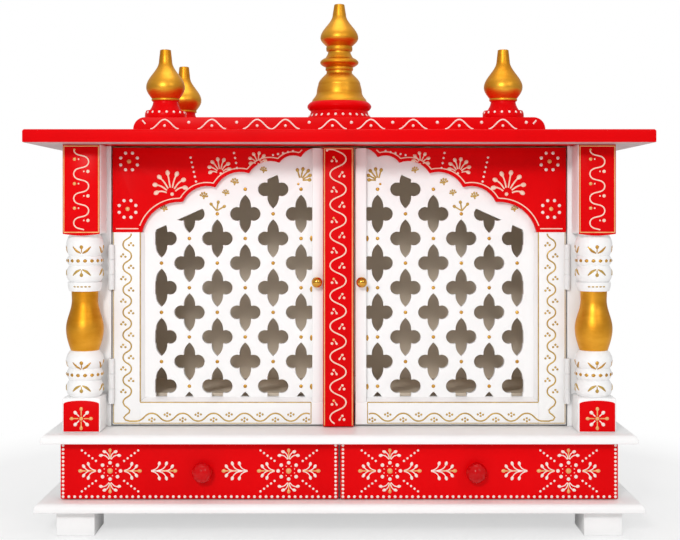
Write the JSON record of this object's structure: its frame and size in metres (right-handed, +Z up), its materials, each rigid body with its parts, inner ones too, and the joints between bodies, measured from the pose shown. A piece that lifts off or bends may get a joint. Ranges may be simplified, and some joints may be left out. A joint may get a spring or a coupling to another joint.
{
  "type": "wooden pooja mandir",
  "caption": "Painted wooden home shrine cabinet with pierced double doors, drawers, turned columns and onion finials on a flat roof.",
  "frame": {"origin": "on the floor under the middle of the roof board", "axes": "+Z up, front towards -Y, +X to the right as seen from the front"},
  "size_m": [0.68, 0.29, 0.6004],
  "materials": {
    "white_paint": "satin white enamel on wood",
    "red_paint": "semi-gloss red enamel on wood",
    "gold_paint": "brushed metallic gold paint on wood",
    "inside_paint": "matt paint on wood",
    "drawer_wood": "plain sanded wood",
    "white_steel": "painted steel hinge",
    "knob_brass": "polished brass"
  },
  "bodies": {
    "root": {"feet": "white_paint", "lower_base_board": "white_paint", "drawer_case_sides": "white_paint", "drawer_case_back": "white_paint", "drawer_case_divider": "white_paint", "upper_base_board": "white_paint", "cabinet_left_side": "white_paint", "cabinet_right_side": "white_paint", "cabinet_back": "white_paint", "jambs": "white_paint", "platform_top": "inside_paint", "platform_riser": "inside_paint", "left_column": "gold_paint", "right_column": "gold_paint", "roof_board": "red_paint", "roof_plinth": "red_paint", "front_finials": "gold_paint", "rear_finial": "gold_paint", "centre_finial": "gold_paint", "jamb_hinge_leaves": "white_steel"},
    "left_door": {"left_lattice_panel": "white_paint", "left_door_stile": "white_paint", "left_door_bottom_rail": "white_paint", "left_door_inner_stile": "white_paint", "left_door_spandrel": "red_paint", "centre_strip": "red_paint", "left_door_knob": "knob_brass", "left_door_hinge_leaves": "white_steel"},
    "right_door": {"right_lattice_panel": "white_paint", "right_door_stile": "white_paint", "right_door_bottom_rail": "white_paint", "right_door_inner_stile": "white_paint", "right_door_spandrel": "red_paint", "right_door_knob": "knob_brass", "right_door_hinge_leaves": "white_steel"},
    "left_drawer": {"left_drawer_front": "red_paint", "left_drawer_sides": "drawer_wood", "left_drawer_back": "drawer_wood", "left_drawer_bottom": "drawer_wood", "left_drawer_knob": "red_paint"},
    "right_drawer": {"right_drawer_front": "red_paint", "right_drawer_sides": "drawer_wood", "right_drawer_back": "drawer_wood", "right_drawer_bottom": "drawer_wood", "right_drawer_knob": "red_paint"}
  },
  "joints": [
    {"name": "left_door_hinge", "type": "hinge", "parent": "root", "child": "left_door", "pos_m": [-0.25775, -0.0685, 0.228], "axis": [0, 0, -1], "range_deg": [0, 90]},
    {"name": "right_door_hinge", "type": "hinge", "parent": "root", "child": "right_door", "pos_m": [0.25775, -0.0685, 0.228], "axis": [0, 0, 1], "range_deg": [0, 90]},
    {"name": "left_drawer_slide", "type": "slide", "parent": "root", "child": "left_drawer", "axis": [0, -1, 0], "range_m": [0, 0.14]},
    {"name": "right_drawer_slide", "type": "slide", "parent": "root", "child": "right_drawer", "axis": [0, -1, 0], "range_m": [0, 0.14]}
  ]
}
